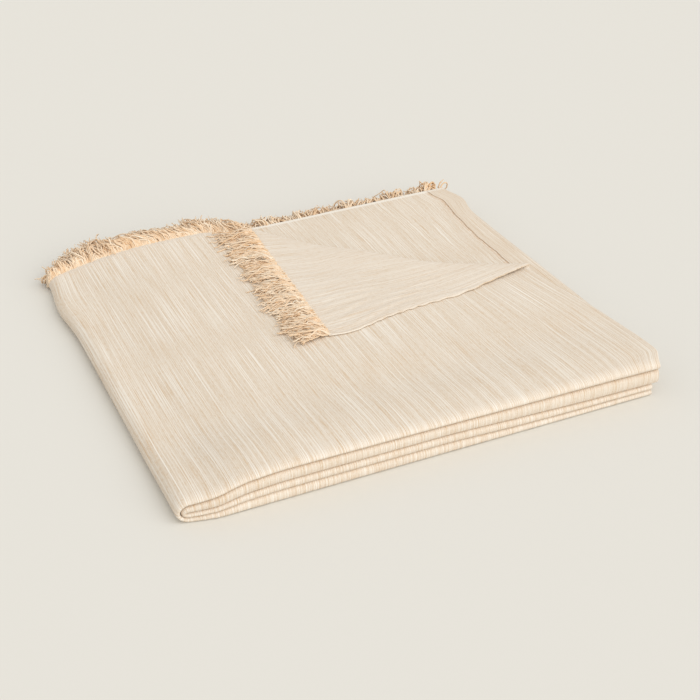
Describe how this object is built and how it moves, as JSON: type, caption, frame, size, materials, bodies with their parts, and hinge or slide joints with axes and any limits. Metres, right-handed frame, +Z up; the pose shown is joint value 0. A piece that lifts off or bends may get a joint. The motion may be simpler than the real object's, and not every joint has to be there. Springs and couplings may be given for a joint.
{
  "type": "folded woven throw",
  "caption": "Woven throw with fine stripes, folded into a flat layered pack, a corner of its top layer turned over, with a cut fringe along its back edge.",
  "frame": {"origin": "on the surface that the throw lies on, under the middle of its box", "axes": "+Z up off the surface, +Y to the back, where the fringed ends lie, +X along the front folds to the open selvedges on the right"},
  "size_m": [0.6668, 0.6588, 0.0512],
  "materials": {
    "cloth": "matte slub weave, fine cream and beige stripes",
    "fringe": "matte loose cut yarn, warm beige"
  },
  "bodies": {
    "root": {"cloth": "cloth", "fringe_turned_corner": "fringe", "fringe_top_layer": "fringe", "fringe_inner_layers": "fringe", "fringe_bottom_layer": "fringe"}
  },
  "joints": []
}
